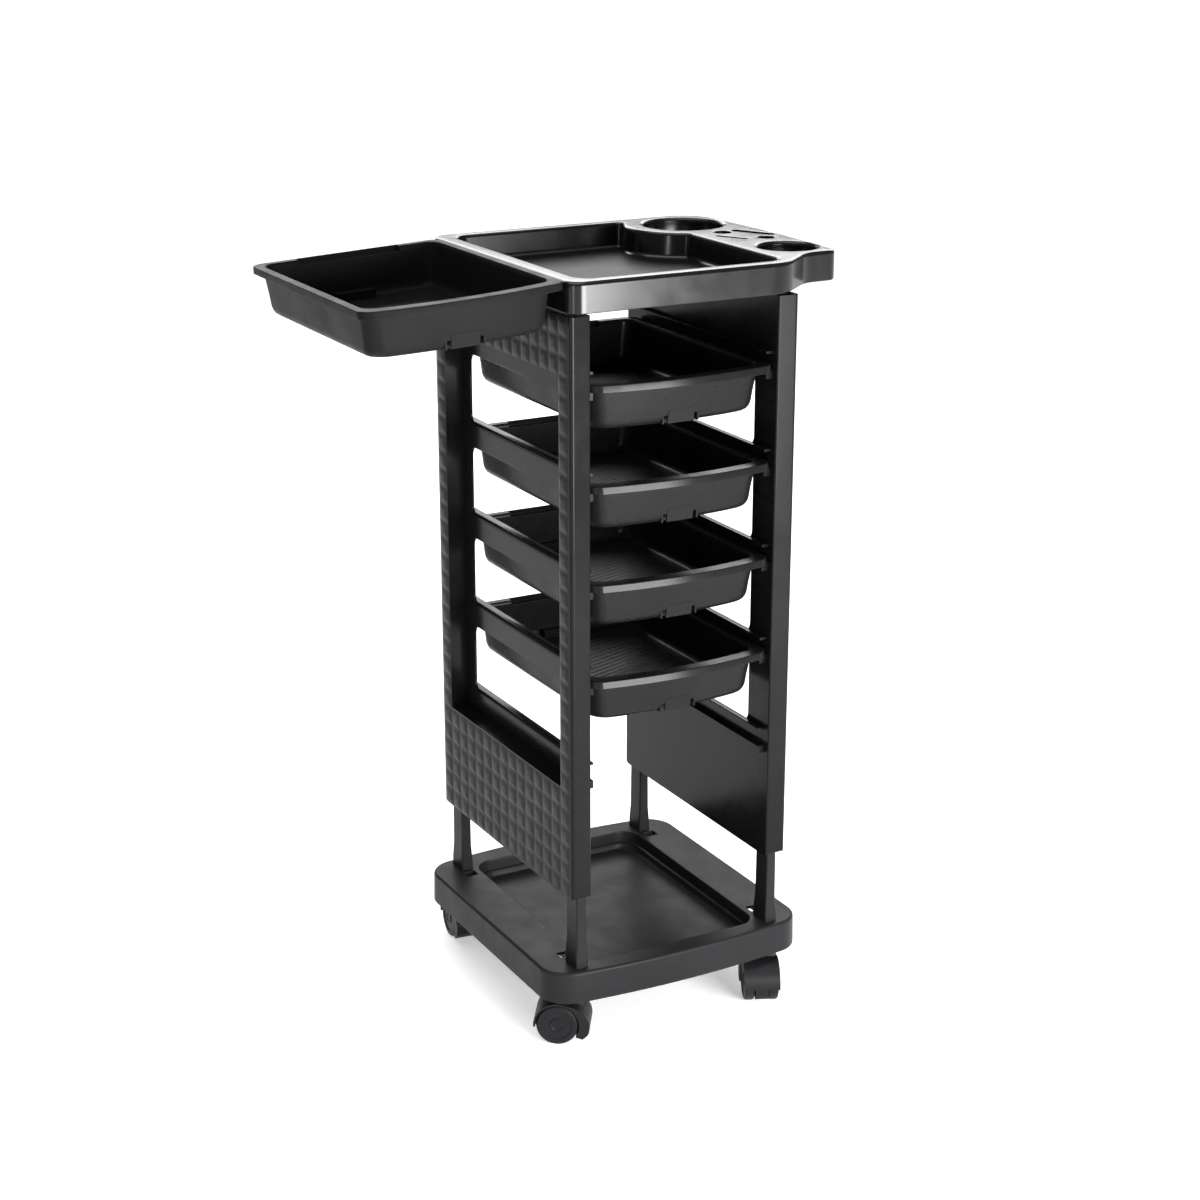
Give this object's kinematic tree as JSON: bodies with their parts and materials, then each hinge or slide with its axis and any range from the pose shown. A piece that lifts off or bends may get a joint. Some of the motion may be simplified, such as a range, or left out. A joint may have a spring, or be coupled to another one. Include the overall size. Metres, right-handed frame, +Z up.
{
  "type": "rolling salon trolley",
  "caption": "Rolling salon trolley: a moulded top with a tool wing, open side frames with slide-out trays, a tray hung at the side, a low base tray and swivel casters.",
  "frame": {"origin": "on the floor, under the middle of the whole trolley's box with the side tray on and the casters as stored", "axes": "+Z up from the floor to the top, -Y to the front, the way the trays pull out, +X to the tool wing"},
  "size_m": [0.5852, 0.3846, 0.871],
  "materials": {
    "satin_black": "satin, fine grain",
    "panel_black": "satin, quilted relief",
    "tray_black": "satin, fine grain",
    "wheel_black": "matt",
    "bright_steel": "zinc plated"
  },
  "bodies": {
    "frame": {"top_tray": "satin_black", "side_panel_left": "panel_black", "side_panel_right": "panel_black", "base_tray": "satin_black", "leg_front_left": "satin_black", "leg_front_right": "satin_black", "leg_back_left": "satin_black", "leg_back_right": "satin_black", "caster_front_left_stem": "bright_steel", "caster_front_left_grip_ring": "bright_steel", "caster_front_right_stem": "bright_steel", "caster_front_right_grip_ring": "bright_steel", "caster_back_left_stem": "bright_steel", "caster_back_left_grip_ring": "bright_steel", "caster_back_right_stem": "bright_steel", "caster_back_right_grip_ring": "bright_steel"},
    "tray_1": {"tray_1": "tray_black"},
    "tray_2": {"tray_2": "tray_black"},
    "tray_3": {"tray_3": "tray_black"},
    "tray_4": {"tray_4": "tray_black"},
    "side_tray": {"side_tray": "tray_black"},
    "caster_front_left": {"caster_front_left_hood": "wheel_black", "caster_front_left_axle": "bright_steel"},
    "wheel_front_left_left": {"caster_front_left_wheel_left": "wheel_black"},
    "wheel_front_left_right": {"caster_front_left_wheel_right": "wheel_black"},
    "caster_front_right": {"caster_front_right_hood": "wheel_black", "caster_front_right_axle": "bright_steel"},
    "wheel_front_right_left": {"caster_front_right_wheel_left": "wheel_black"},
    "wheel_front_right_right": {"caster_front_right_wheel_right": "wheel_black"},
    "caster_back_left": {"caster_back_left_hood": "wheel_black", "caster_back_left_axle": "bright_steel"},
    "wheel_back_left_left": {"caster_back_left_wheel_left": "wheel_black"},
    "wheel_back_left_right": {"caster_back_left_wheel_right": "wheel_black"},
    "caster_back_right": {"caster_back_right_hood": "wheel_black", "caster_back_right_axle": "bright_steel"},
    "wheel_back_right_left": {"caster_back_right_wheel_left": "wheel_black"},
    "wheel_back_right_right": {"caster_back_right_wheel_right": "wheel_black"}
  },
  "joints": [
    {"name": "tray_1_slide", "type": "slide", "parent": "frame", "child": "tray_1", "axis": [0, -1, 0], "range_m": [0, 0.25]},
    {"name": "tray_2_slide", "type": "slide", "parent": "frame", "child": "tray_2", "axis": [0, -1, 0], "range_m": [0, 0.25]},
    {"name": "tray_3_slide", "type": "slide", "parent": "frame", "child": "tray_3", "axis": [0, -1, 0], "range_m": [0, 0.25]},
    {"name": "tray_4_slide", "type": "slide", "parent": "frame", "child": "tray_4", "axis": [0, -1, 0], "range_m": [0, 0.25]},
    {"name": "side_tray_lift", "type": "slide", "parent": "frame", "child": "side_tray", "axis": [0, 0, 1], "range_m": [0, 0.12]},
    {"name": "caster_front_left_swivel", "type": "hinge", "parent": "frame", "child": "caster_front_left", "pos_m": [-0.0484, -0.14074, 0.055], "axis": [0, 0, 1], "continuous": true},
    {"name": "wheel_front_left_left_spin", "type": "hinge", "parent": "caster_front_left", "child": "wheel_front_left_left", "pos_m": [-0.06518, -0.12985, 0.024], "axis": [-0.5446, -0.8387, 0], "continuous": true},
    {"name": "wheel_front_left_right_spin", "type": "hinge", "parent": "caster_front_left", "child": "wheel_front_left_right", "pos_m": [-0.06518, -0.12985, 0.024], "axis": [-0.5446, -0.8387, 0], "continuous": true},
    {"name": "caster_front_right_swivel", "type": "hinge", "parent": "frame", "child": "caster_front_right", "pos_m": [0.1946, -0.14074, 0.055], "axis": [0, 0, 1], "continuous": true},
    {"name": "wheel_front_right_left_spin", "type": "hinge", "parent": "caster_front_right", "child": "wheel_front_right_left", "pos_m": [0.18614, -0.15887, 0.024], "axis": [0.9063, -0.4226, 0], "continuous": true},
    {"name": "wheel_front_right_right_spin", "type": "hinge", "parent": "caster_front_right", "child": "wheel_front_right_right", "pos_m": [0.18614, -0.15887, 0.024], "axis": [0.9063, -0.4226, 0], "continuous": true},
    {"name": "caster_back_left_swivel", "type": "hinge", "parent": "frame", "child": "caster_back_left", "pos_m": [-0.0484, 0.14326, 0.055], "axis": [0, 0, 1], "continuous": true},
    {"name": "wheel_back_left_left_spin", "type": "hinge", "parent": "caster_back_left", "child": "wheel_back_left_left", "pos_m": [-0.04631, 0.16315, 0.024], "axis": [-0.9945, 0.1045, 0], "continuous": true},
    {"name": "wheel_back_left_right_spin", "type": "hinge", "parent": "caster_back_left", "child": "wheel_back_left_right", "pos_m": [-0.04631, 0.16315, 0.024], "axis": [-0.9945, 0.1045, 0], "continuous": true},
    {"name": "caster_back_right_swivel", "type": "hinge", "parent": "frame", "child": "caster_back_right", "pos_m": [0.1946, 0.14326, 0.055], "axis": [0, 0, 1], "continuous": true},
    {"name": "wheel_back_right_left_spin", "type": "hinge", "parent": "caster_back_right", "child": "wheel_back_right_left", "pos_m": [0.20992, 0.15611, 0.024], "axis": [-0.6428, 0.766, 0], "continuous": true},
    {"name": "wheel_back_right_right_spin", "type": "hinge", "parent": "caster_back_right", "child": "wheel_back_right_right", "pos_m": [0.20992, 0.15611, 0.024], "axis": [-0.6428, 0.766, 0], "continuous": true}
  ]
}
